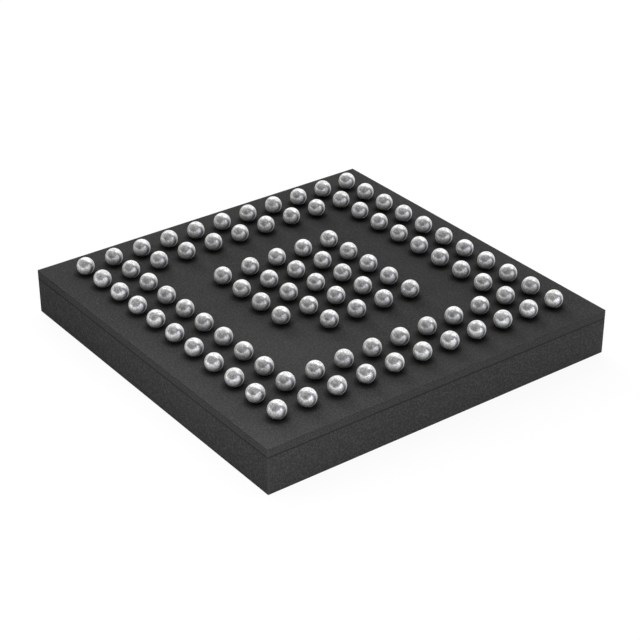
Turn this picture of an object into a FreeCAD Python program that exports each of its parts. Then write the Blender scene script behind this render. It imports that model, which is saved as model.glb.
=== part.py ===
import FreeCAD, Part
import math
import os

import Sketcher

# A ball grid array package, lying on its moulded face with the balls up.
# Lengths are millimetres. Z is up from the flat face of the mould cap, X and Y run along the grid.
SIZES = {
    # the grid: whole outer rings, and a square block in the middle that lacks one corner ball
    "ball_pitch": 0.5,
    "balls_per_side": 11,
    "ring_count": 2,
    "centre_count": 5,
    "edge_margin": 0.54,
    # a solder ball, how far it dips below the mask's face, and the opening that its neck fills
    "ball_diameter": 0.269,
    "ball_dip": 0.0025,
    "opening_radius": 0.075,
    "solder_clearance": 0.003,
    # the layers, from the moulded face up
    "cap_thickness": 0.58,
    "mask_cover": 0.018,
    "copper_thickness": 0.012,
    "core_thickness": 0.08,
    # the copper of the substrate
    "pad_radius": 0.12,
    "land_radius": 0.075,
    "via_radius": 0.04,
    "neck_width": 0.05,
    "track_width": 0.03,
    "track_escape": 0.175,
    "strap_width": 0.1,
    "plate_overhang": 0.1,
    "finger_gap": 0.1,
    "finger_length": 0.2,
    "finger_width": 0.09,
    "finger_strap_gap": 0.034,
    "moat_inset": 0.05,
    # the die
    "die_side": 2.5,
    "die_thickness": 0.2,
    "film_thickness": 0.02,
    "bond_pad_side": 0.06,
    "bond_pad_thickness": 0.006,
    "bond_pad_inset": 0.08,
    "bond_pad_corner_gap": 0.11,
    # the bond wires
    "wire_diameter": 0.025,
    "wire_loop": 0.1,
    "wire_level_run": 0.13,
    "wire_bend_radius": 0.04,
    "ball_bond_diameter": 0.052,
    "ball_bond_height": 0.014,
    "stitch_diameter": 0.05,
    "stitch_height": 0.008,
}

# Letters of the ball rows, without those that read like figures.
ROW_LETTERS = "abcdefghjklmnprtuvwy"

# Places that follow from the sizes, as expressions that the sheet works out.
GRID_HALF = "(sizes.balls_per_side - 1) / 2 * sizes.ball_pitch"
BODY_SIDE = "(sizes.balls_per_side - 1) * sizes.ball_pitch + 2 * sizes.edge_margin"
CORE_LOW = "sizes.cap_thickness + sizes.mask_cover + sizes.copper_thickness"
CORE_HIGH = CORE_LOW + " + sizes.core_thickness"
PAD_TOP = CORE_HIGH + " + sizes.copper_thickness"
FINGER_FACE = "sizes.cap_thickness + sizes.mask_cover"
FILM_LOW = "sizes.cap_thickness - sizes.film_thickness"
DIE_HALF = "sizes.die_side / 2"
DIE_LOW = FILM_LOW + " - sizes.die_thickness"
BOND_PAD_LOW = DIE_LOW + " - sizes.bond_pad_thickness"
MASK_DEPTH = "sizes.mask_cover + sizes.copper_thickness"
PLATE_HALF = DIE_HALF + " + sizes.plate_overhang"
FINGER_START = PLATE_HALF + " + sizes.finger_gap"
FINGER_END = FINGER_START + " + sizes.finger_length"
MOAT_INNER = PLATE_HALF + " - sizes.moat_inset"
MOAT_OUTER = FINGER_END + " - sizes.moat_inset"

doc = FreeCAD.newDocument("ball_grid_array")
sheet = doc.addObject("Spreadsheet::Sheet", "sizes")
for line, (name, value) in enumerate(SIZES.items(), start=1):
    sheet.set(f"A{line}", name)
    sheet.set(f"B{line}", str(value))
    sheet.setAlias(f"B{line}", name)
doc.recompute()


def size(expression):
    """The number that an alias or an expression of the sheet stands for."""
    return float(sheet.evalExpression(expression if "sizes." in expression else f"sizes.{expression}"))


PITCH = size("ball_pitch")
COUNT = round(size("balls_per_side"))
RINGS = round(size("ring_count"))
CENTRE = round(size("centre_count"))
CENTRE_START = (COUNT - CENTRE) // 2
HALF_GRID = size(GRID_HALF)


def bound(thing, **expressions):
    """Ties the properties of an object to the sheet. A double underscore stands for a dot."""
    for key, expression in expressions.items():
        thing.setExpression(key.replace("__", "."), expression)
    return thing


def slab(name, side, low, thickness):
    """A square plate, centred on the Z axis."""
    plate = doc.addObject("Part::Box", name)
    return bound(plate, Length=side, Width=side, Height=thickness,
                 Placement__Base__x=f"-({side}) / 2", Placement__Base__y=f"-({side}) / 2",
                 Placement__Base__z=low)


def cut(name, base, tool):
    """What is left of one object where another is taken out of it."""
    left = doc.addObject("Part::Cut", name)
    left.Base = base
    left.Tool = tool
    return left


def feature(name, shapes):
    """An object that holds worked-out solids. They don't touch one another."""
    made = doc.addObject("Part::Feature", name)
    made.Shape = Part.makeCompound(shapes)
    return made


def is_ring(column, row):
    """True for a grid site in the outer rings."""
    return min(column, row, COUNT - 1 - column, COUNT - 1 - row) < RINGS


def is_centre(column, row):
    """True for a site of the centre block, which lacks its last ball of the first row."""
    last = CENTRE_START + CENTRE - 1
    inside = CENTRE_START <= min(column, row) and max(column, row) <= last
    return inside and (column, row) != (last, CENTRE_START)


def ball_sites():
    """Every (column, row) that carries a ball. Columns run along X, rows along Y."""
    sites = [(column, row) for column in range(COUNT) for row in range(COUNT)]
    return [site for site in sites if is_ring(*site) or is_centre(*site)]


def place(column, row):
    """X and Y of a grid site."""
    return column * PITCH - HALF_GRID, row * PITCH - HALF_GRID


def via_place(column, row):
    """A via lies half a pitch outwards of its ball each way. On a middle line it turns to one side."""
    x, y = place(column, row)
    middle = PITCH / 4
    side_x = x if abs(x) > middle else -y - middle
    side_y = y if abs(y) > middle else x - middle
    return x + math.copysign(PITCH / 2, side_x), y + math.copysign(PITCH / 2, side_y)


def disc(x, y, radius, low, high):
    """An upright round plate."""
    return Part.makeCylinder(radius, high - low, FreeCAD.Vector(x, y, low))


def bar(start, end, width, low, high):
    """A straight strip with square ends, from one point in plan to another."""
    run = FreeCAD.Vector(end[0] - start[0], end[1] - start[1], 0)
    strip = Part.makeBox(run.Length, width, high - low, FreeCAD.Vector(0, -width / 2, low))
    turn = FreeCAD.Rotation(FreeCAD.Vector(1, 0, 0), run)
    strip.Placement = FreeCAD.Placement(FreeCAD.Vector(start[0], start[1], 0), turn)
    return strip


def joined(shapes):
    """One solid of several that overlap."""
    return shapes[0].multiFuse(shapes[1:]).removeSplitter().Solids[0]


def turned(shapes, quarter):
    """Copies of shapes, turned about the Z axis by quarter turns."""
    turn = FreeCAD.Rotation(FreeCAD.Vector(0, 0, 1), 90 * quarter)
    spin = FreeCAD.Placement(FreeCAD.Vector(0, 0, 0), turn)
    return [shape.transformed(spin.toMatrix(), copy=True) for shape in shapes]


def dog_bone(with_opening):
    """The copper of one ball: its pad, a neck and the land of its via, pointing along X.
    With its opening it is the whole room that the solder mask leaves at a ball."""
    low, top = size(CORE_HIGH), size(PAD_TOP)
    reach = PITCH / math.sqrt(2)
    shapes = [disc(0, 0, size("pad_radius"), low, top),
              bar((0, 0), (reach, 0), size("neck_width"), low, top),
              disc(reach, 0, size("land_radius"), low, top)]
    if with_opening:
        shapes.append(disc(0, 0, size("opening_radius"), low, top + size("mask_cover")))
    return joined(shapes)


def at_balls(shape):
    """A copy of a dog-bone at each ball, turned towards the ball's via."""
    copies = []
    for site in ball_sites():
        ball, via = place(*site), via_place(*site)
        angle = math.degrees(math.atan2(via[1] - ball[1], via[0] - ball[0]))
        turn = FreeCAD.Rotation(FreeCAD.Vector(0, 0, 1), angle)
        spot = FreeCAD.Placement(FreeCAD.Vector(ball[0], ball[1], 0), turn)
        copies.append(shape.transformed(spot.toMatrix(), copy=True))
    return copies


def vias():
    """The copper fillings of the core's drilled holes."""
    low, high = size(CORE_LOW), size(CORE_HIGH)
    return [disc(*via_place(*site), size("via_radius"), low, high) for site in ball_sites()]


def front_sites():
    """The ring sites whose tracks leave by the front side, in the order of their fingers."""
    sites = [(column, row) for row in range(RINGS) for column in range(row + 1, COUNT - 1 - row)]
    return sorted(sites, key=pass_place)


def pass_place(site):
    """X at which a site's track goes by the innermost ring's vias. A track to a via further out
    goes by on the outer side of the via in its way, and those at the ends go by on the inner side."""
    column, row = site
    x = via_place(*site)[0]
    depth = RINGS - 1 - row
    outwards = math.copysign(depth * size("track_escape"), x)
    at_end = column == row + 1 or column == COUNT - 2 - row
    return x - outwards if at_end else x + outwards


def spread(step, steps, half):
    """The coordinate of one of several places that are spread evenly from -half to half."""
    return half * (2 * step / (steps - 1) - 1)


def finger_places():
    """X of each bond finger on the front side. The outer ones stay clear of the corner straps."""
    strap_edge = size(FINGER_START) - size("strap_width") / math.sqrt(2)
    half = strap_edge - size("finger_strap_gap") - size("finger_width") / 2
    steps = len(front_sites())
    return [spread(step, steps, half) for step in range(steps)]


def bond_pad_places():
    """X of each bond pad along the front side of the die. The outer ones stay clear of the pads at
    the die's corners."""
    corner = size(DIE_HALF) - size("bond_pad_inset")
    half = corner - size("bond_pad_side") - size("bond_pad_corner_gap")
    steps = len(front_sites())
    return [spread(step, steps, half) for step in range(steps)]


def front_tracks():
    """The front side's tracks: each a finger, a run past the inner vias and the land of its via."""
    low, high = size(FINGER_FACE), size(CORE_LOW)
    inner_y = via_place(COUNT // 2, RINGS - 1)[1]
    tracks = []
    for site, finger_x in zip(front_sites(), finger_places()):
        root, tip = (finger_x, -size(FINGER_START)), (finger_x, -size(FINGER_END))
        route = [tip, (pass_place(site), inner_y), via_place(*site)]
        shapes = [bar(root, tip, size("finger_width"), low, high),
                  disc(*route[-1], size("land_radius"), low, high)]
        for start, end in zip(route, route[1:]):
            if math.dist(start, end) > size("track_width"):
                shapes.append(bar(start, end, size("track_width"), low, high))
                shapes.append(disc(*start, size("track_width") / 2, low, high))
        tracks.append(joined(shapes))
    return tracks


def die_plate():
    """The copper plate under the die with the straps that run out to the corner vias. The vias of
    the centre block end on it."""
    low, high = size(FINGER_FACE), size(CORE_LOW)
    half = size(PLATE_HALF)
    shapes = [Part.makeBox(2 * half, 2 * half, high - low, FreeCAD.Vector(-half, -half, low))]
    inside = half - size("strap_width")
    corners = [via_place(ring, ring) for ring in range(RINGS)]
    straps = [bar((-inside, -inside), corners[0], size("strap_width"), low, high)]
    straps += [disc(*corner, size("land_radius"), low, high) for corner in corners]
    for quarter in range(4):
        shapes += turned(straps, quarter)
    return joined(shapes)


def bond_places():
    """Where the front side's wires start on the die and end on the substrate. The first one goes
    from the die's corner to the corner strap."""
    pad_line = size(DIE_HALF) - size("bond_pad_inset")
    finger_line = (size(FINGER_START) + size(MOAT_OUTER)) / 2
    corner_line = size(FINGER_START)
    starts = [(-pad_line, -pad_line)] + [(x, -pad_line) for x in bond_pad_places()]
    ends = [(-corner_line, -corner_line)] + [(x, -finger_line) for x in finger_places()]
    return list(zip(starts, ends))


def bond_pads():
    """The small square pads on the die's face, one under the start of each wire."""
    half = size("bond_pad_side") / 2
    low = size(BOND_PAD_LOW)
    pads = [Part.makeBox(2 * half, 2 * half, size("bond_pad_thickness"),
                         FreeCAD.Vector(start[0] - half, start[1] - half, low))
            for start, _ in bond_places()]
    return [pad for quarter in range(4) for pad in turned(pads, quarter)]


def rounded_path(points, radius):
    """Straight runs through points, joined by tangent arcs."""
    edges = []
    at = points[0]
    for before, corner, after in zip(points, points[1:], points[2:]):
        back, forth = (before - corner).normalize(), (after - corner).normalize()
        half_angle = back.getAngle(forth) / 2
        cut_back = radius / math.tan(half_angle)
        middle = (back + forth).normalize()
        centre = corner + middle * (radius / math.sin(half_angle))
        first, last = corner + back * cut_back, corner + forth * cut_back
        edges.append(Part.LineSegment(at, first).toShape())
        edges.append(Part.Arc(first, centre - middle * radius, last).toShape())
        at = last
    edges.append(Part.LineSegment(at, points[-1]).toShape())
    return Part.Wire(edges)


def bond_wire(start, end):
    """One gold wire: a flattened ball on the die pad, a loop, and a flat stitch on the finger."""
    top, foot = size(BOND_PAD_LOW), size(FINGER_FACE)
    radius = size("wire_diameter") / 2
    span = math.dist(start, end)
    loop = top - size("wire_loop")
    level = size("wire_level_run")
    rise = FreeCAD.Vector(span - level, 0, foot - loop).normalize()
    points = [FreeCAD.Vector(0, 0, top), FreeCAD.Vector(0, 0, loop), FreeCAD.Vector(level, 0, loop),
              FreeCAD.Vector(span, 0, foot) + rise * (2 * radius)]
    path = rounded_path(points, size("wire_bend_radius"))
    section = Part.Wire(Part.makeCircle(radius, points[0], FreeCAD.Vector(0, 0, -1)))
    tube = Part.makeSolid(path.makePipeShell([section], True, False))
    room = Part.makeBox(3 * span, span, foot, FreeCAD.Vector(-span, -span / 2, 0))
    ball = Part.makeCylinder(size("ball_bond_diameter") / 2, size("ball_bond_height"),
                             FreeCAD.Vector(0, 0, top - size("ball_bond_height")))
    stitch = Part.makeCylinder(size("stitch_diameter") / 2, size("stitch_height"),
                               FreeCAD.Vector(span, 0, foot - size("stitch_height")))
    wire = joined([tube.common(room), ball, stitch])
    turn = FreeCAD.Rotation(FreeCAD.Vector(1, 0, 0),
                            FreeCAD.Vector(end[0] - start[0], end[1] - start[1], 0))
    spot = FreeCAD.Placement(FreeCAD.Vector(start[0], start[1], 0), turn)
    return wire.transformed(spot.toMatrix(), copy=True)


def plane(body, role):
    """One of a body's own origin planes."""
    return next(item for item in body.Origin.OriginFeatures if item.Role == role)


def ball_sketch(body, name, first_row):
    """Half the outline of a ball, on its axis: a neck through the mask's opening and a sphere."""
    sketch = body.newObject("Sketcher::SketchObject", name)
    sketch.AttachmentSupport = (plane(body, "XZ_Plane"), [""])
    sketch.MapMode = "FlatFace"
    sketch.setExpression("AttachmentOffset.Base.z", f"-{first_row} * sizes.ball_pitch")
    radius, neck = size("ball_diameter") / 2, size("opening_radius") - size("solder_clearance")
    centre = size("mask_cover") + radius - size("ball_dip")
    join = centre - math.sqrt(radius ** 2 - neck ** 2)
    corners = [FreeCAD.Vector(0, centre + radius, 0), FreeCAD.Vector(0, 0, 0),
               FreeCAD.Vector(neck, 0, 0), FreeCAD.Vector(neck, join, 0)]
    for start, end in zip(corners, corners[1:]):
        sketch.addGeometry(Part.LineSegment(start, end))
    sphere = Part.Circle(FreeCAD.Vector(0, centre, 0), FreeCAD.Vector(0, 0, 1), radius)
    low_angle = math.atan2(join - centre, neck)
    sketch.addGeometry(Part.ArcOfCircle(sphere, low_angle, math.pi / 2))
    axis, base, side, arc = range(4)
    for first, second in ((axis, base), (base, side)):
        sketch.addConstraint(Sketcher.Constraint("Coincident", first, 2, second, 1))
    sketch.addConstraint(Sketcher.Constraint("Coincident", side, 2, arc, 1))
    sketch.addConstraint(Sketcher.Constraint("Coincident", arc, 2, axis, 1))
    sketch.addConstraint(Sketcher.Constraint("Coincident", axis, 2, -1, 1))
    sketch.addConstraint(Sketcher.Constraint("Vertical", axis))
    sketch.addConstraint(Sketcher.Constraint("Horizontal", base))
    sketch.addConstraint(Sketcher.Constraint("Vertical", side))
    sketch.addConstraint(Sketcher.Constraint("PointOnObject", arc, 3, -2))
    for label, expression, constraint in (
            ("neck", "sizes.opening_radius - sizes.solder_clearance",
             Sketcher.Constraint("DistanceX", base, 1, base, 2, neck)),
            ("centre", "sizes.mask_cover + sizes.ball_diameter / 2 - sizes.ball_dip",
             Sketcher.Constraint("DistanceY", -1, 1, arc, 3, centre)),
            ("radius", "sizes.ball_diameter / 2", Sketcher.Constraint("Radius", arc, radius))):
        index = sketch.addConstraint(constraint)
        sketch.renameConstraint(index, label)
        sketch.setExpression(f"Constraints.{label}", expression)
    return sketch


def runs(rows):
    """A row of numbers split where it skips, as (first, how many)."""
    found = []
    for row in rows:
        if found and row == sum(found[-1]):
            found[-1] = (found[-1][0], found[-1][1] + 1)
        else:
            found.append((row, 1))
    return found


def ball_column(column):
    """The balls of one line of the grid, each turned about its own axis and repeated along Y."""
    label = f"solder_balls_row_{ROW_LETTERS[column]}"
    body = doc.addObject("PartDesign::Body", label)
    bound(body, Placement__Base__x=f"{column} * sizes.ball_pitch - {GRID_HALF}",
          Placement__Base__y=f"-{GRID_HALF}", Placement__Base__z=PAD_TOP)
    rows = [row for site_column, row in ball_sites() if site_column == column]
    for first, repeats in runs(rows):
        sketch = ball_sketch(body, f"{label}_outline_{first}", first)
        ball = body.newObject("PartDesign::Revolution", f"{label}_ball_{first}")
        ball.Profile = sketch
        ball.ReferenceAxis = (sketch, ["V_Axis"])
        ball.Angle = 360
        body.Tip = ball
        if repeats > 1:
            line = body.newObject("PartDesign::LinearPattern", f"{label}_line_{first}")
            line.Originals = [ball]
            line.Direction = (plane(body, "Y_Axis"), [""])
            line.Mode = "Spacing"
            line.Occurrences = repeats
            line.setExpression("Offset", "sizes.ball_pitch")
            body.Tip = line
    return body


def substrate():
    """The laminate: core, two copper layers, their vias and the solder mask on each side."""
    filled = feature("plated_vias", vias())
    core = slab("core_blank", BODY_SIDE, CORE_LOW, "sizes.core_thickness")
    ball_copper = feature("ball_side_copper", at_balls(dog_bone(False)))
    ball_blank = slab("ball_side_mask_blank", BODY_SIDE, CORE_HIGH, MASK_DEPTH)
    ball_room = feature("ball_side_mask_room", at_balls(dog_bone(True)))
    tracks = front_tracks()
    die_copper = feature("die_side_copper", [die_plate()] + [
        track for quarter in range(4) for track in turned(tracks, quarter)])
    mask_low = "sizes.cap_thickness"
    die_blank = slab("die_side_mask_blank", BODY_SIDE, mask_low, MASK_DEPTH)
    ring = cut("die_side_mask_ring", die_blank, moat("die_side_mask_moat"))
    return [filled, cut("substrate_core", core, filled), ball_copper,
            cut("ball_side_mask", ball_blank, ball_room), die_copper,
            cut("die_side_mask", ring, die_copper)]


def moat(name):
    """The square ring that the die-side mask leaves open over the bond fingers."""
    outer = slab(f"{name}_outer", f"2 * ({MOAT_OUTER})", "sizes.cap_thickness", MASK_DEPTH)
    inner = slab(f"{name}_inner", f"2 * ({MOAT_INNER})", "sizes.cap_thickness", MASK_DEPTH)
    return cut(name, outer, inner)


def die_stack():
    """The die, the film that holds it and the pads on its face."""
    return [slab("silicon_die", "sizes.die_side", DIE_LOW, "sizes.die_thickness"),
            slab("die_attach_film", "sizes.die_side", FILM_LOW, "sizes.film_thickness"),
            feature("die_bond_pads", bond_pads())]


def bond_wires():
    """The wires, one object for each side of the die."""
    front = [bond_wire(start, end) for start, end in bond_places()]
    sides = ("front", "right", "back", "left")
    return [feature(f"bond_wires_{side}", turned(front, quarter))
            for quarter, side in enumerate(sides)]


def mould_cap(die_copper, stack, wires):
    """The moulded body: a slab that also fills the moat, less all that it encloses."""
    blank = slab("mould_cap_slab", BODY_SIDE, "0", "sizes.cap_thickness")
    fill = cut("mould_cap_moat_fill", moat("mould_cap_moat"), die_copper)
    whole = doc.addObject("Part::Fuse", "mould_cap_whole")
    whole.Base = blank
    whole.Tool = fill
    die_room = doc.addObject("Part::MultiFuse", "mould_cap_die_room")
    die_room.Shapes = stack
    wire_room = doc.addObject("Part::Compound", "mould_cap_wire_room")
    wire_room.Links = wires
    return cut("mould_cap", cut("mould_cap_less_die", whole, die_room), wire_room)


layers = substrate()
die_copper = next(layer for layer in layers if layer.Name == "die_side_copper")
stack = die_stack()
wires = bond_wires()
sub_parts = layers + stack + wires + [mould_cap(die_copper, stack, wires)]
sub_parts += [ball_column(column) for column in range(COUNT)]
doc.recompute()

for thing in doc.Objects:
    if "Invalid" in thing.State or "Error" in thing.State:
        raise ValueError(f"{thing.Name} could not be worked out: {thing.State}")
for sub_part in sub_parts:
    if sub_part.Shape.isNull() or not sub_part.Shape.isValid():
        raise ValueError(f"{sub_part.Name} has no sound shape")

os.makedirs("parts", exist_ok=True)
for sub_part in sub_parts:
    sub_part.Shape.exportStep(f"parts/{sub_part.Label}.step")
    print(f"{sub_part.Label}: {len(sub_part.Shape.Solids)} solids, {sub_part.Shape.Volume:.5f} mm3")
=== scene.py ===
"""Looks of a ball grid array package: its finishes, its solder balls and a plain studio.

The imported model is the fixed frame. Lengths are metres. Z is up from the flat face of the mould cap,
and X and Y run along the grid of balls.
"""

import logging
import math
from dataclasses import dataclass, replace
from enum import Enum
from typing import ClassVar, Optional, Union

import bmesh
import bpy
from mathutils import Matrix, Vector


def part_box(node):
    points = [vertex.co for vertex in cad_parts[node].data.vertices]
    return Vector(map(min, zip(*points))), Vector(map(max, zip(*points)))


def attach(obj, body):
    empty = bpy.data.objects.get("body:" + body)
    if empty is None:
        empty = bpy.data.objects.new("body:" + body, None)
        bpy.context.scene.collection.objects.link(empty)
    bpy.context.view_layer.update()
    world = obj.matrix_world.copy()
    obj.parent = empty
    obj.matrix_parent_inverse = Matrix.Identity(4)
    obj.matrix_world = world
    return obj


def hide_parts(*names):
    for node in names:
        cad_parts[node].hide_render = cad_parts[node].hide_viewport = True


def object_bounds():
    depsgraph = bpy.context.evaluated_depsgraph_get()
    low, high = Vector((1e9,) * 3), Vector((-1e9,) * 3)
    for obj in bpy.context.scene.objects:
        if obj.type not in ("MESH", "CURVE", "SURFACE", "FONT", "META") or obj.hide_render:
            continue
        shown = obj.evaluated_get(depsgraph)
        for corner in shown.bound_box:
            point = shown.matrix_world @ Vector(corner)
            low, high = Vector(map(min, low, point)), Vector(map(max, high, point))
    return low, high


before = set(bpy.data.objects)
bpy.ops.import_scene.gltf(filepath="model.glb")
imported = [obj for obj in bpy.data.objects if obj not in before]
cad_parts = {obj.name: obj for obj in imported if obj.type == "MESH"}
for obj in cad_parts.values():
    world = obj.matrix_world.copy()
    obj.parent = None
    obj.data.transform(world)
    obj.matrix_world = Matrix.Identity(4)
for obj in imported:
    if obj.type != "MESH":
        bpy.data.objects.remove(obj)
CAD_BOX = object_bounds()

log = logging.getLogger("ball_grid_array")

MM = 1e-3
UM = 1e-6
BODY = "root"
ROW_LETTERS = "abcdefghjkl"

# The camera's bearing in degrees, from which the lamps and the surroundings are counted.
VIEW_AZIMUTH = 53.26

# Stretches of a noise, within 0 to 1, over which a finish passes from one tone to the other.
SOFT_RANGE = (0.3, 0.7)
SPECK_RANGE = (0.4, 0.7)
MOTTLE_RANGE = (0.4, 0.6)

Value = Union[bpy.types.NodeSocket, float, tuple]


def tone(red: float, green: Optional[float] = None, blue: Optional[float] = None) -> tuple:
    """A screen colour as the shaders take it.

    Levels above 255 are brighter than white, as some glows of the surroundings are.

    Args:
        red: the red level, where 255 is white, or the grey level if it stands alone.
        green: the green level.
        blue: the blue level.

    Returns:
        The linear colour with an alpha of 1.
    """
    levels = (red, red if green is None else green, red if blue is None else blue)
    linear = []
    for level in levels:
        share = level / 255
        linear.append(share / 12.92 if share <= 0.04045 else ((share + 0.055) / 1.055) ** 2.4)
    return (*linear, 1.0)


def bearing(azimuth: float, elevation: float) -> Vector:
    """The direction from the object towards a place in the studio.

    Args:
        azimuth: degrees round Z. 0 is towards -Y and 90 towards +X.
        elevation: degrees above the floor.

    Returns:
        A vector of length 1.
    """
    turn, rise = math.radians(azimuth), math.radians(elevation)
    return Vector((math.sin(turn) * math.cos(rise), -math.cos(turn) * math.cos(rise), math.sin(rise)))


class Stretch(Enum):
    """The direction in which a texture is drawn out, as the share that each axis keeps."""

    NONE = (1.0, 1.0, 1.0)
    LEVEL = (0.04, 0.04, 1.0)


class Ray(Enum):
    """The kinds of light path that the studio tells apart."""

    CAMERA = "Is Camera Ray"
    GLOSSY = "Is Glossy Ray"
    BOUNCES = "Diffuse Depth"


class Graph:
    """A node tree, with short ways to add and join its nodes."""

    def __init__(self, tree: bpy.types.NodeTree) -> None:
        """Takes the tree to work on."""
        self.tree = tree

    def add(self, kind: str, settings: Optional[dict] = None, **values: Value) -> bpy.types.Node:
        """Adds a node.

        Args:
            kind: the node's type.
            settings: the node's own properties.
            values: what goes into its inputs, with an underscore for a space in their names.

        Returns:
            The new node.
        """
        node = self.tree.nodes.new(kind)
        for key, value in (settings or {}).items():
            setattr(node, key, value)
        for key, value in values.items():
            self.feed(node.inputs[key.replace("_", " ")], value)
        return node

    def feed(self, socket: bpy.types.NodeSocket, value: Value) -> None:
        """Links an output to an input, or sets the input to a constant.

        Args:
            socket: the input.
            value: the output, number or colour that goes in.
        """
        if isinstance(value, bpy.types.NodeSocket):
            self.tree.links.new(value, socket)
        else:
            socket.default_value = value

    def ray(self, kind: Ray) -> Value:
        """Tells what kind of light path asks for the colour."""
        return self.add("ShaderNodeLightPath").outputs[kind.value]

    def ranged(self, source: Value, start: float, end: float, low: float = 0.0,
               high: float = 1.0) -> Value:
        """Spreads a stretch of a signal between two levels and holds it there outside.

        Args:
            source: the signal.
            start: where the stretch starts.
            end: where the stretch ends.
            low: the level at its start.
            high: the level at its end.

        Returns:
            The new signal.
        """
        return self.add("ShaderNodeMapRange", {"interpolation_type": "SMOOTHSTEP"}, Value=source,
                        From_Min=start, From_Max=end, To_Min=low, To_Max=high).outputs["Result"]

    def sum(self, operation: str, first: Value, second: Value = 0.0) -> Value:
        """One step of arithmetic on signals.

        Args:
            operation: the step's name.
            first: the first signal.
            second: the second signal or number.

        Returns:
            The result.
        """
        node = self.add("ShaderNodeMath", {"operation": operation})
        self.feed(node.inputs[0], first)
        self.feed(node.inputs[1], second)
        return node.outputs["Value"]

    def blend(self, share: Value, first: Value, second: Value) -> Value:
        """Mixes two colours.

        Args:
            share: how much of the second colour there is, from 0 to 1.
            first: the first colour.
            second: the second colour.

        Returns:
            The mixed colour.
        """
        node = self.add("ShaderNodeMix", {"data_type": "RGBA"})
        colour_inputs = [socket for socket in node.inputs if socket.type == "RGBA"]
        self.feed(node.inputs[0], share)
        self.feed(colour_inputs[0], first)
        self.feed(colour_inputs[1], second)
        return next(socket for socket in node.outputs if socket.type == "RGBA")


class Recipe(Graph):
    """A material's node tree, with its shader and the place on the object, in metres."""

    finer_share: ClassVar[float] = 0.55
    level_slope: ClassVar[tuple] = (0.3, 0.7)

    def __init__(self, name: str) -> None:
        """Starts a material.

        Args:
            name: the material's name.
        """
        self.material = bpy.data.materials.new(name)
        self.material.use_nodes = True
        super().__init__(self.material.node_tree)
        self.shader = self.tree.nodes["Principled BSDF"]
        self.place = self.add("ShaderNodeTexCoord").outputs["Object"]

    def noise(self, grain: float, detail: float = 2.0, stretch: Stretch = Stretch.NONE) -> Value:
        """Smooth random mottling over the object.

        Args:
            grain: the size of one mottle, in metres.
            detail: how many finer layers are added.
            stretch: the direction in which it is drawn out.

        Returns:
            The output, from 0 to 1 about a mean of a half.
        """
        place = self.place
        if stretch is not Stretch.NONE:
            scaled = self.add("ShaderNodeVectorMath", {"operation": "MULTIPLY"})
            self.feed(scaled.inputs[0], place)
            self.feed(scaled.inputs[1], stretch.value)
            place = scaled.outputs["Vector"]
        return self.add("ShaderNodeTexNoise", Vector=place, Scale=1 / grain, Detail=detail,
                        Roughness=self.finer_share).outputs["Fac"]

    def bump(self, height: Value, depth: float, below: Optional[Value] = None) -> Value:
        """Fine relief.

        Args:
            height: the relief, from 0 to 1.
            depth: how high it stands, in metres.
            below: the relief that this one lies on.

        Returns:
            The normal of the relief.
        """
        node = self.add("ShaderNodeBump", Height=height, Distance=depth, Strength=1.0)
        if below is not None:
            self.feed(node.inputs["Normal"], below)
        return node.outputs["Normal"]

    def height(self) -> Value:
        """The height on the object, in metres."""
        return self.place_by_axis().outputs["Z"]

    def place_by_axis(self) -> bpy.types.Node:
        """The place on the object, as a node with the outputs X, Y and Z."""
        return self.add("ShaderNodeSeparateXYZ", Vector=self.place)

    def facing_by_axis(self) -> bpy.types.Node:
        """The direction that the surface faces, as a node with the outputs X, Y and Z."""
        return self.add("ShaderNodeSeparateXYZ",
                        Vector=self.add("ShaderNodeNewGeometry").outputs["Normal"])

    def uprightness(self) -> Value:
        """Tells upright faces from level ones.

        Returns:
            0 on level faces and 1 on upright ones.
        """
        level = self.sum("ABSOLUTE", self.facing_by_axis().outputs["Z"])
        return self.ranged(level, *self.level_slope, 1.0, 0.0)

    def finish(self, **values: Value) -> bpy.types.Material:
        """Sets the shader's inputs.

        Args:
            values: what goes into them, with an underscore for a space in their names.

        Returns:
            The finished material.
        """
        for key, value in values.items():
            self.feed(self.shader.inputs[key.replace("_", " ")], value)
        return self.material


@dataclass(frozen=True)
class Seam:
    """The fine dark line round the sides where the substrate lies on the moulded body.

    It is full over the share `core` of its half width and fades over the rest.
    """

    height: float = 0.583 * MM
    half_width: float = 16 * UM
    core: float = 0.35
    shade: tuple = tone(45)

    def draw(self, recipe: Recipe, ground: Value, sides: Value) -> Value:
        """Darkens a ground colour along the seam.

        Args:
            recipe: the material in the making.
            ground: its colour without the seam.
            sides: 1 on the upright faces.

        Returns:
            The colour with the seam.
        """
        away = recipe.sum("ABSOLUTE", recipe.sum("SUBTRACT", recipe.height(), self.height))
        line = recipe.ranged(away, self.core * self.half_width, self.half_width, 1.0, 0.0)
        return recipe.blend(recipe.sum("MULTIPLY", line, sides), ground, self.shade)


@dataclass(frozen=True)
class CornerHighlight:
    """A painted highlight: the paler line along each upright corner, where the edge would catch the light.

    It is full over the share `core` of its width, next to the corner, and fades over the rest.
    """

    reach: float = CAD_BOX[1].x
    width: float = 36 * UM
    core: float = 0.25
    shade: tuple = tone(65)

    def draw(self, recipe: Recipe, ground: Value, sides: Value) -> Value:
        """Paints a highlight into a ground colour along the upright corners.

        Args:
            recipe: the material in the making.
            ground: its colour without the line.
            sides: 1 on the upright faces.

        Returns:
            The colour with the line.
        """
        across = recipe.place_by_axis()
        nearer = recipe.sum("MINIMUM", *[recipe.sum("ABSOLUTE", across.outputs[axis]) for axis in "XY"])
        # painted highlight: paler towards the corner
        line = recipe.ranged(nearer, self.reach - self.width, self.reach - self.core * self.width)
        return recipe.blend(recipe.sum("MULTIPLY", line, sides), ground, self.shade)


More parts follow.
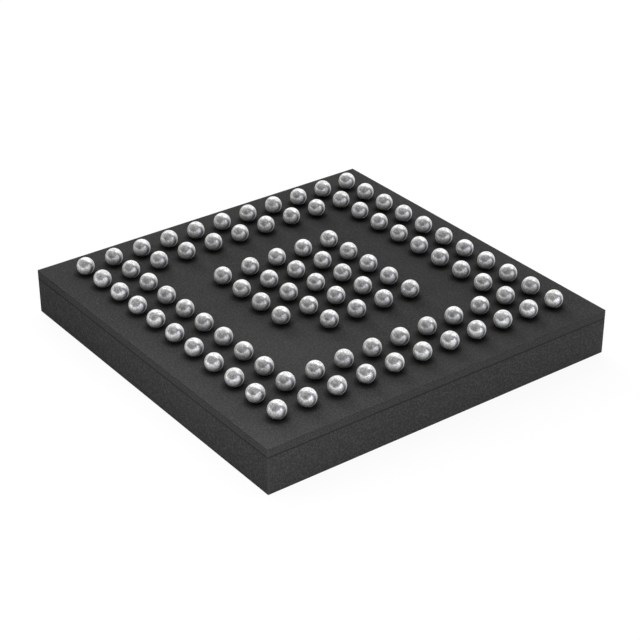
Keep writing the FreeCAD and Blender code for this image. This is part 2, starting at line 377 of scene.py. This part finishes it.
@dataclass(frozen=True)
class BallGrid:
    """The grid of sites, of which two outer rings and a middle block carry balls."""

    pitch: float = 0.5 * MM
    per_side: int = 11
    rings: int = 2
    centre: int = 5
    diameter: float = 0.269 * MM

    def has_ball(self, column: int, row: int) -> bool:
        """Says whether a grid site carries a ball.

        Args:
            column: the site's place along X.
            row: the site's place along Y.

        Returns:
            True in the outer rings and in the middle block, which lacks one corner ball.
        """
        if min(column, row, self.per_side - 1 - column, self.per_side - 1 - row) < self.rings:
            return True
        first = (self.per_side - self.centre) // 2
        last = first + self.centre - 1
        inside = first <= min(column, row) and max(column, row) <= last
        return inside and (column, row) != (last, first)

    def place(self, column: int, row: int) -> tuple:
        """Where a site lies.

        Args:
            column: the site's place along X.
            row: the site's place along Y.

        Returns:
            Its X and Y, in metres.
        """
        middle = (self.per_side - 1) / 2
        return (column - middle) * self.pitch, (row - middle) * self.pitch


@dataclass(frozen=True)
class ContactShade:
    """Painted shade on the mask round the foot of each ball, where a contact shadow falls.

    It fades between two radii, which are given as shares of the ball's radius.
    """

    grid: BallGrid = BallGrid()
    inner: float = 0.7
    outer: float = 1.7
    shade: float = 0.75

    def draw(self, recipe: Recipe, ground: Value) -> Value:
        """Paints shade into a ground colour round the sites that carry balls.

        Args:
            recipe: the material in the making.
            ground: its colour without the rings.

        Returns:
            The colour with the rings.
        """
        across = recipe.place_by_axis()
        off, site = [], []
        for axis in "XY":
            steps = recipe.sum("DIVIDE", across.outputs[axis], self.grid.pitch)
            nearest = recipe.sum("ROUND", steps)
            off.append(recipe.sum("SUBTRACT", steps, nearest))
            site.append(nearest)
        away = recipe.sum("SQRT", recipe.sum("ADD", *[recipe.sum("POWER", part, 2.0) for part in off]))
        radius = self.grid.diameter / 2 / self.grid.pitch
        # painted shade: full near the ball's foot and gone at the outer radius
        painted_shade = recipe.ranged(away, self.inner * radius, self.outer * radius, self.shade, 0.0)
        ringed = self.carries_ball(recipe, site)
        return recipe.blend(recipe.sum("MULTIPLY", painted_shade, ringed), ground, tone(0))

    def carries_ball(self, recipe: Recipe, site: list) -> Value:
        """Tells the sites that carry balls from the bare ones.

        Args:
            recipe: the material in the making.
            site: the column and the row of the nearest site, counted from the middle of the grid.

        Returns:
            1 where that site carries a ball, and 0 elsewhere.
        """
        half_step = 0.5
        out = recipe.sum("MAXIMUM", *[recipe.sum("ABSOLUTE", part) for part in site])
        edge = (self.grid.per_side - 1) / 2
        last_middle, first_ring = (self.grid.centre - 1) / 2, edge - self.grid.rings + 1
        rings = recipe.sum("MULTIPLY", recipe.sum("GREATER_THAN", out, first_ring - half_step),
                           recipe.sum("LESS_THAN", out, edge + half_step))
        held = recipe.sum("ADD", recipe.sum("LESS_THAN", out, last_middle + half_step), rings)
        missing = recipe.sum("MULTIPLY", recipe.sum("COMPARE", site[0], last_middle),
                             recipe.sum("COMPARE", site[1], -last_middle))
        return recipe.sum("SUBTRACT", held, missing)


@dataclass(frozen=True)
class Shelter:
    """The dusk low on each ball, where the mask and the balls round it keep the light out.

    The balls of the outermost rows have it only on the sides that face the array. It fades as the
    surface turns up, over the stretch `level` of its normal's Z, and on those balls as it turns out
    of the array, over the stretch `opening` of its normal's outward part.
    """

    grid: BallGrid = BallGrid()
    depth: float = 0.57
    level: tuple = (-0.07, 1.0)
    opening: tuple = (-0.45, 0.91)

    def draw(self, recipe: Recipe, ground: Value) -> Value:
        """Darkens a ground colour where a ball is sheltered.

        Args:
            recipe: the material in the making.
            ground: its colour in the open.

        Returns:
            The colour with the dusk.
        """
        facing, across = recipe.facing_by_axis(), recipe.place_by_axis()
        inner_rows = (self.grid.per_side / 2 - 1) * self.grid.pitch
        outward = []
        for axis in "XY":
            place = across.outputs[axis]
            outermost = recipe.sum("GREATER_THAN", recipe.sum("ABSOLUTE", place), inner_rows)
            turned = recipe.sum("MULTIPLY", facing.outputs[axis], recipe.sum("SIGN", place))
            outward.append(recipe.sum("MULTIPLY", recipe.sum("ADD", turned, 1.0), outermost))
        shut = recipe.ranged(recipe.sum("SUBTRACT", recipe.sum("MAXIMUM", *outward), 1.0), *self.opening,
                             self.depth, 0.0)
        low = recipe.ranged(facing.outputs["Z"], *self.level, 1.0, 0.0)
        return recipe.blend(recipe.sum("MULTIPLY", shut, low), ground, tone(0))


@dataclass(frozen=True)
class BodyFinish:
    """A matte dark surface with a moulded or printed face and sawn sides."""

    name: str
    face: tuple
    face_dark: tuple
    side: tuple
    side_dark: tuple
    cloud: float
    peel: float
    peel_depth: float
    grain: float
    grain_depth: float
    speck: tuple
    gloss: float = 0.0
    rough: tuple = (0.72, 0.82)
    seam: Optional[Seam] = None
    # Painted shade round the balls' feet, on faces that carry balls.
    contact_shade: Optional[ContactShade] = None
    # Painted highlight along the upright corners.
    corner_highlight: CornerHighlight = CornerHighlight()
    saw_pitch: ClassVar[float] = 14 * UM
    saw_depth: ClassVar[float] = 0.35 * UM
    edge_radius: ClassVar[float] = 3.5 * UM
    edge_samples: ClassVar[int] = 4

    def material(self) -> bpy.types.Material:
        """Makes the material.

        Returns:
            A material with clouded tone, specks, saw marks on its sides and softened edges.
        """
        recipe = Recipe(self.name)
        sides = recipe.uprightness()
        cloud = recipe.ranged(recipe.noise(self.cloud, detail=3), *SOFT_RANGE)
        marks = recipe.noise(self.saw_pitch, detail=3, stretch=Stretch.LEVEL)
        grain = recipe.noise(self.grain, detail=2)
        face = recipe.blend(cloud, self.face_dark, self.face)
        side = recipe.blend(recipe.ranged(marks, *SOFT_RANGE), self.side_dark, self.side)
        ground = recipe.blend(sides, face, side)
        ground = recipe.blend(recipe.ranged(grain, *SPECK_RANGE), ground, self.speck)
        # Paints a highlight along the upright corners, then shade round the balls.
        ground = self.corner_highlight.draw(recipe, ground, sides)
        if self.contact_shade is not None:
            ground = self.contact_shade.draw(recipe, ground)
        if self.seam is not None:
            ground = self.seam.draw(recipe, ground, sides)
        rounded = recipe.add("ShaderNodeBevel", {"samples": self.edge_samples}, Radius=self.edge_radius)
        peel = recipe.noise(self.peel, detail=1)
        relief = recipe.bump(peel, self.peel_depth, rounded.outputs["Normal"])
        relief = recipe.bump(recipe.sum("MULTIPLY", marks, sides), self.saw_depth, relief)
        relief = recipe.bump(grain, self.grain_depth, relief)
        return recipe.finish(Base_Color=ground, Normal=relief, Specular_IOR_Level=self.gloss,
                             Roughness=recipe.ranged(cloud, 0, 1, *self.rough))


@dataclass(frozen=True)
class MetalFinish:
    """A metal with grain in its colour, its sheen and its relief.

    A ball's foot has painted shade: dark and matt below the first height of `foot`, and none above the
    second.
    """

    name: str
    bright: tuple
    dull: tuple
    rough: tuple
    grain: float
    grain_depth: float
    dimple: float
    dimple_depth: float
    foot: Optional[tuple] = None
    shelter: Optional[Shelter] = None
    # Colour of the painted shade at a ball's foot, standing in for the contact shadow and the dark mask
    # mirrored there.
    painted_shade: ClassVar[tuple] = tone(34)

    def material(self) -> bpy.types.Material:
        """Makes the material.

        Returns:
            A metal that is mottled at two scales, with painted shade at its foot and a dusk if it has them.
        """
        recipe = Recipe(self.name)
        dimples = recipe.noise(self.dimple, detail=2)
        grain = recipe.noise(self.grain, detail=3)
        mean = recipe.sum("MULTIPLY", recipe.sum("ADD", dimples, grain), 0.5)
        mottle = recipe.ranged(mean, *MOTTLE_RANGE)
        relief = recipe.bump(dimples, self.dimple_depth)
        relief = recipe.bump(grain, self.grain_depth, relief)
        colour = recipe.blend(mottle, self.dull, self.bright)
        unshaded = 1.0
        if self.foot is not None:
            # painted shade at the foot: dark and matt low down, gone higher up
            unshaded = recipe.ranged(recipe.height(), *self.foot)
            colour = recipe.blend(unshaded, self.painted_shade, colour)
        if self.shelter is not None:
            colour = self.shelter.draw(recipe, colour)
        return recipe.finish(Base_Color=colour, Metallic=unshaded, Specular_IOR_Level=0.0, Normal=relief,
                             Roughness=recipe.ranged(mottle, 0, 1, *reversed(self.rough)))


@dataclass(frozen=True)
class SiliconFinish:
    """Ground silicon: near black, with the fine arcs that back grinding leaves."""

    name: str = "ground_silicon"
    dark: tuple = tone(38, 40, 46)
    light: tuple = tone(66, 68, 76)
    arc_pitch: float = 9 * UM
    arc_depth: float = 0.1 * UM
    waver: float = 1.5
    metal: float = 0.5
    rough: tuple = (0.22, 0.34)

    def material(self) -> bpy.types.Material:
        """Makes the material.

        Returns:
            A dark half-metal with ground arcs.
        """
        recipe = Recipe(self.name)
        arcs = recipe.add("ShaderNodeTexWave", {"wave_type": "RINGS", "rings_direction": "Z"},
                          Vector=recipe.place, Scale=1 / self.arc_pitch, Distortion=self.waver,
                          Detail=2.0).outputs["Fac"]
        return recipe.finish(Base_Color=recipe.blend(arcs, self.dark, self.light), Metallic=self.metal,
                             Roughness=recipe.ranged(arcs, 0, 1, *self.rough),
                             Normal=recipe.bump(arcs, self.arc_depth))


MOULD = BodyFinish(
    name="moulded_epoxy", face=tone(60), face_dark=tone(55), side=tone(57), side_dark=tone(52),
    cloud=0.9 * MM, peel=70 * UM, peel_depth=0.5 * UM, grain=24 * UM, grain_depth=0.5 * UM,
    speck=tone(70), seam=Seam())
# The ball-side mask carries painted shade round each ball.
MASK = BodyFinish(
    name="printed_mask", face=tone(58), face_dark=tone(54), side=tone(57), side_dark=tone(52),
    cloud=1.3 * MM, peel=110 * UM, peel_depth=0.8 * UM, grain=22 * UM, grain_depth=0.25 * UM,
    speck=tone(69), contact_shade=ContactShade())
SEAM_MASK = replace(MASK, name="printed_mask_seam", contact_shade=None, seam=Seam())
LAMINATE = BodyFinish(
    name="glass_laminate", face=tone(70), face_dark=tone(60), side=tone(58), side_dark=tone(51),
    cloud=0.4 * MM, peel=45 * UM, peel_depth=0.5 * UM, grain=20 * UM, grain_depth=0.4 * UM,
    speck=tone(72))
DIE_ATTACH = BodyFinish(
    name="die_paste", face=tone(92, 88, 84), face_dark=tone(78, 75, 72), side=tone(86, 82, 78),
    side_dark=tone(72, 70, 68), cloud=0.5 * MM, peel=60 * UM, peel_depth=0.6 * UM, grain=10 * UM,
    grain_depth=0.3 * UM, speck=tone(108), gloss=0.35)
COPPER = MetalFinish(
    name="plated_copper", bright=tone(206, 134, 100), dull=tone(168, 102, 76), rough=(0.28, 0.42),
    grain=6 * UM, grain_depth=0.25 * UM, dimple=30 * UM, dimple_depth=0.4 * UM)
GOLD = MetalFinish(
    name="drawn_gold", bright=tone(232, 190, 112), dull=tone(206, 162, 88), rough=(0.16, 0.26),
    grain=3 * UM, grain_depth=0.05 * UM, dimple=14 * UM, dimple_depth=0.1 * UM)
ALUMINIUM = MetalFinish(
    name="bare_aluminium", bright=tone(214, 216, 220), dull=tone(186, 188, 192), rough=(0.2, 0.34),
    grain=2.5 * UM, grain_depth=0.05 * UM, dimple=12 * UM, dimple_depth=0.1 * UM)
# The solder carries painted shade at its foot and low on each ball.
SOLDER = MetalFinish(
    name="reflowed_solder", bright=tone(255, 255, 254), dull=tone(202, 202, 201), rough=(0.12, 0.2),
    grain=18 * UM, grain_depth=0.4 * UM, dimple=50 * UM, dimple_depth=0.4 * UM,
    foot=(0.726 * MM, 0.79 * MM), shelter=Shelter())


def dress(node: str, material: bpy.types.Material) -> None:
    """Gives a node of the frame its material.

    Args:
        node: the node's name.
        material: the material for all its faces.
    """
    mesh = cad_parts[node].data
    mesh.materials.clear()
    mesh.materials.append(material)
    log.info("%s is finished in %s", node, material.name)


@dataclass
class MouldedBody:
    """The moulded cap and what it encloses: die, film, pads and wires."""

    cap: str = "mould_cap"
    die: str = "silicon_die"
    film: str = "die_attach_film"
    pads: str = "die_bond_pads"
    wire_sides: tuple = ("front", "right", "back", "left")

    def build(self) -> None:
        """Dresses the cap, the die stack and the wires."""
        dress(self.cap, MOULD.material())
        dress(self.die, SiliconFinish().material())
        dress(self.film, DIE_ATTACH.material())
        dress(self.pads, ALUMINIUM.material())
        gold = GOLD.material()
        for side in self.wire_sides:
            dress(f"bond_wires_{side}", gold)


@dataclass
class Substrate:
    """The laminate under the balls: core, copper, vias and solder masks."""

    core: str = "substrate_core"
    ball_mask: str = "ball_side_mask"
    die_mask: str = "die_side_mask"
    copper_parts: tuple = ("ball_side_copper", "die_side_copper", "plated_vias")

    def build(self) -> None:
        """Dresses the layers."""
        dress(self.core, LAMINATE.material())
        dress(self.ball_mask, MASK.material())
        dress(self.die_mask, SEAM_MASK.material())
        copper = COPPER.material()
        for part in self.copper_parts:
            dress(part, copper)


@dataclass
class SolderBalls:
    """The balls, one piece for each row of the grid, turned finely enough to mirror smoothly."""

    grid: BallGrid = BallGrid()
    neck_radius: float = 0.076 * MM
    segments: int = 48
    steps: int = 22

    def outline(self, low: float, top: float) -> list:
        """Half the outline of a ball.

        Args:
            low: the height of the neck's foot.
            top: the height of the ball's crown.

        Returns:
            Points of (radius, height) from the foot to just below the crown.
        """
        radius = self.grid.diameter / 2
        start = math.acos(self.neck_radius / radius)
        points = [(self.neck_radius, low)]
        for step in range(self.steps):
            angle = -start + (math.pi / 2 + start) * step / self.steps
            points.append((radius * math.cos(angle), top - radius + radius * math.sin(angle)))
        return points

    def turn_ball(self, mesh: bmesh.types.BMesh, x: float, y: float, outline: list, top: float) -> None:
        """Adds one ball to a mesh.

        Args:
            mesh: the mesh in the making.
            x: the ball's place along X.
            y: the ball's place along Y.
            outline: half its outline.
            top: the height of its crown.
        """
        rings = []
        for radius, height in outline:
            turns = [2 * math.pi * step / self.segments for step in range(self.segments)]
            rings.append([mesh.verts.new((x + radius * math.cos(turn), y + radius * math.sin(turn), height))
                          for turn in turns])
        for lower, upper in zip(rings, rings[1:]):
            for step in range(self.segments):
                after = (step + 1) % self.segments
                mesh.faces.new((lower[step], lower[after], upper[after], upper[step]))
        crown = mesh.verts.new((x, y, top))
        for step in range(self.segments):
            mesh.faces.new((rings[-1][step], rings[-1][(step + 1) % self.segments], crown))
        mesh.faces.new(list(reversed(rings[0])))

    def build_row(self, column: int, solder: bpy.types.Material) -> bpy.types.Object:
        """Makes the balls of one row, in the place of the row's node.

        Args:
            column: the row's place along X.
            solder: the balls' material.

        Returns:
            The finished piece.
        """
        node = f"solder_balls_row_{ROW_LETTERS[column]}"
        lowest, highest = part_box(node)
        outline = self.outline(lowest.z, highest.z)
        shape = bmesh.new()
        for row in range(self.grid.per_side):
            if self.grid.has_ball(column, row):
                self.turn_ball(shape, *self.grid.place(column, row), outline, highest.z)
        mesh = bpy.data.meshes.new(f"balls_row_{ROW_LETTERS[column]}")
        shape.to_mesh(mesh)
        shape.free()
        mesh.shade_smooth()
        mesh.materials.append(solder)
        piece = bpy.data.objects.new(mesh.name, mesh)
        bpy.context.scene.collection.objects.link(piece)
        piece.visible_glossy = False
        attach(piece, BODY)
        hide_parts(node)
        log.info("%s stands for %s", piece.name, node)
        return piece

    def build(self) -> None:
        """Makes every row and dresses the nodes that the rows stand for."""
        solder = SOLDER.material()
        for column in range(self.grid.per_side):
            dress(f"solder_balls_row_{ROW_LETTERS[column]}", solder)
            self.build_row(column, solder)


@dataclass(frozen=True)
class Softbox:
    """Soft rectangular lamps on an arc round the object, which they face.

    Azimuths are degrees from the camera, towards the picture's right. Polished metal doesn't mirror
    the lamps.
    """

    name: str
    azimuths: tuple
    elevation: float
    width: float
    height: float
    radiance: float
    distance: float = 0.15

    def hang(self) -> None:
        """Puts the lamps in the studio. A lamp's radiance is its power over four times its area."""
        for place, azimuth in enumerate(self.azimuths, 1):
            lamp = bpy.data.lights.new(f"{self.name}_{place}", "AREA")
            lamp.shape = "RECTANGLE"
            lamp.size, lamp.size_y = self.width, self.height
            lamp.energy = 4 * self.width * self.height * self.radiance
            holder = bpy.data.objects.new(lamp.name, lamp)
            towards = bearing(VIEW_AZIMUTH + azimuth, self.elevation)
            holder.location = towards * self.distance
            holder.rotation_mode = "QUATERNION"
            holder.rotation_quaternion = towards.to_track_quat("Z", "Y")
            holder.visible_camera = False
            holder.visible_glossy = False
            bpy.context.scene.collection.objects.link(holder)
        log.info("%s: %d soft lamps at %.0f degrees", self.name, len(self.azimuths), self.elevation)


@dataclass(frozen=True)
class Glow:
    """A soft round patch in the surroundings that polished metal mirrors.

    It is full out to `core` degrees from its middle and gone at `edge` degrees. Its azimuth is
    counted like a lamp's. A black patch is a screen that keeps the light out.
    """

    azimuth: float
    elevation: float
    core: float
    edge: float
    colour: tuple
    cover: float = 1.0

    def lay(self, sky: Graph, direction: Value, ground: Value) -> Value:
        """Lays the patch over the surroundings.

        Args:
            sky: the world's nodes.
            direction: the direction that is looked up.
            ground: the surroundings without the patch.

        Returns:
            The surroundings with the patch.
        """
        middle = bearing(VIEW_AZIMUTH + self.azimuth, self.elevation)
        near = sky.add("ShaderNodeVectorMath", {"operation": "DOT_PRODUCT"})
        sky.feed(near.inputs[0], direction)
        sky.feed(near.inputs[1], middle)
        share = sky.ranged(near.outputs["Value"], math.cos(math.radians(self.edge)),
                           math.cos(math.radians(self.core)), 0.0, self.cover)
        return sky.blend(share, ground, self.colour)


@dataclass
class Surroundings:
    """What the balls mirror: a table that pales towards the horizon, a dimmer ceiling and glows."""

    ceiling: tuple = tone(156, 156, 158)
    horizon: tuple = tone(233, 234, 237)
    table: tuple = tone(101)
    fade: float = 1.26
    rim: float = 0.2
    glows: tuple = (
        Glow(azimuth=-147, elevation=1, core=0, edge=53, colour=tone(273, 273, 267)),
        Glow(azimuth=59, elevation=14, core=19, edge=24, colour=tone(237, 238, 250)),
        Glow(azimuth=159, elevation=-4, core=63, edge=106, colour=tone(0), cover=0.79),
        Glow(azimuth=165, elevation=24, core=5, edge=83, colour=tone(256, 257, 259), cover=0.87),
        Glow(azimuth=128, elevation=50, core=0, edge=31, colour=tone(258, 258, 261)),
        Glow(azimuth=180, elevation=34, core=31, edge=36, colour=tone(256, 256, 255), cover=0.97),
        Glow(azimuth=-34, elevation=25, core=0, edge=40, colour=tone(134, 133, 132), cover=0.98),
        Glow(azimuth=25, elevation=12, core=4, edge=22, colour=tone(257, 257, 266), cover=0.61),
    )

    def paint(self, sky: Graph) -> Value:
        """Makes the surroundings.

        Args:
            sky: the world's nodes.

        Returns:
            Their colour in every direction.
        """
        direction = sky.add("ShaderNodeTexCoord").outputs["Generated"]
        rise = sky.add("ShaderNodeSeparateXYZ", Vector=direction).outputs["Z"]
        depth = sky.sum("POWER", sky.sum("ADD", rise, 1.0), self.fade)
        colour = sky.blend(depth, self.table, self.horizon)
        colour = sky.blend(sky.ranged(rise, 0, self.rim), colour, self.ceiling)
        for glow in self.glows:
            colour = glow.lay(sky, direction, colour)
        return colour


@dataclass
class Studio:
    """A pale floor, soft lamps, a white background and the camera."""

    floor_half: float = 0.6
    floor_colours: tuple = (tone(232), tone(236))
    floor_mottle: float = 0.8 * MM
    floor_rough: float = 0.9
    floor_gloss: float = 0.1
    floor_glow: float = 1.02
    glow_share: float = 0.9
    ambient: float = 0.0
    mirrored: float = 1.19
    view_elevation: float = 30.02
    view_distance: float = 26.6 * MM
    aim: tuple = (0.236 * MM, -0.099 * MM, 0.339 * MM)
    lens: float = 99.95
    clip: tuple = (1 * MM, 10.0)
    lamps: tuple = (
        Softbox("low_right", (90, 120), elevation=8, width=0.08, height=0.042, radiance=14.2),
        Softbox("low_back", (-120, -150), elevation=8, width=0.08, height=0.042, radiance=6),
        Softbox("back_left", (-150,), elevation=28, width=0.07, height=0.064, radiance=7),
        Softbox("back", (150, 180), elevation=28, width=0.07, height=0.064, radiance=2),
        Softbox("over_back", (135, 180, -135), elevation=55, width=0.069, height=0.08, radiance=1.7),
        Softbox("near_fill", (-53,), elevation=35, width=0.004, height=0.003, radiance=2.7,
                distance=0.008),
        Softbox("near_front", (-12,), elevation=35, width=0.004, height=0.003, radiance=2.3,
                distance=0.008),
    )

    def build_floor(self) -> None:
        """Lays the floor. The camera sees it nearly white, with the object's shadow kept."""
        half = self.floor_half
        mesh = bpy.data.meshes.new("floor")
        corners = [(-half, -half, 0), (half, -half, 0), (half, half, 0), (-half, half, 0)]
        mesh.from_pydata(corners, [], [(0, 1, 2, 3)])
        recipe = Recipe("floor_paper")
        paper = recipe.blend(recipe.noise(self.floor_mottle), *self.floor_colours)
        recipe.finish(Base_Color=paper, Roughness=self.floor_rough, Specular_IOR_Level=self.floor_gloss)
        glow = recipe.add("ShaderNodeEmission", Strength=self.floor_glow)
        seen = recipe.sum("MULTIPLY", recipe.ray(Ray.CAMERA), self.glow_share)
        mix = recipe.add("ShaderNodeMixShader", Fac=seen)
        recipe.feed(mix.inputs[1], recipe.shader.outputs["BSDF"])
        recipe.feed(mix.inputs[2], glow.outputs["Emission"])
        recipe.feed(recipe.tree.nodes["Material Output"].inputs["Surface"], mix.outputs["Shader"])
        mesh.materials.append(recipe.material)
        floor = bpy.data.objects.new("floor", mesh)
        floor.visible_glossy = False
        bpy.context.scene.collection.objects.link(floor)

    def build_world(self) -> None:
        """Surrounds the studio: white to the camera, the surroundings to polished metal."""
        world = bpy.data.worlds.new("studio")
        bpy.context.scene.world = world
        world.use_nodes = True
        world.cycles.sampling_method = "NONE"
        sky = Graph(world.node_tree)
        camera = sky.ray(Ray.CAMERA)
        first = sky.sum("SUBTRACT", sky.ray(Ray.GLOSSY), sky.ray(Ray.BOUNCES))
        level = sky.ranged(first, 0, 1, self.ambient, self.mirrored)
        backdrop = world.node_tree.nodes["Background"]
        sky.feed(backdrop.inputs["Color"], sky.blend(camera, Surroundings().paint(sky), tone(255)))
        sky.feed(backdrop.inputs["Strength"], sky.sum("MAXIMUM", level, camera))

    def build_camera(self) -> None:
        """Sets the camera up at the photograph's viewing angle."""
        lens = bpy.data.cameras.new("camera")
        lens.lens = self.lens
        lens.clip_start, lens.clip_end = self.clip
        camera = bpy.data.objects.new("camera", lens)
        towards = bearing(VIEW_AZIMUTH, self.view_elevation)
        camera.location = Vector(self.aim) + towards * self.view_distance
        camera.rotation_mode = "QUATERNION"
        camera.rotation_quaternion = towards.to_track_quat("Z", "Y")
        bpy.context.scene.collection.objects.link(camera)
        bpy.context.scene.camera = camera

    def build(self) -> None:
        """Sets up the floor, the world, the lamps and the camera."""
        self.build_floor()
        self.build_world()
        for lamp in self.lamps:
            lamp.hang()
        self.build_camera()
        bpy.context.scene.view_settings.view_transform = "Standard"


def clear_reflections() -> None:
    """Keeps the frame's nodes out of the mirror images, which show the surroundings alone."""
    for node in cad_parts.values():
        node.visible_glossy = False


def main() -> None:
    """Builds every sub-assembly, then the studio."""
    logging.basicConfig(level=logging.INFO, format="%(name)s: %(message)s")
    for part in (MouldedBody(), Substrate(), SolderBalls()):
        part.build()
    clear_reflections()
    Studio().build()


if __name__ == "__main__":
    main()
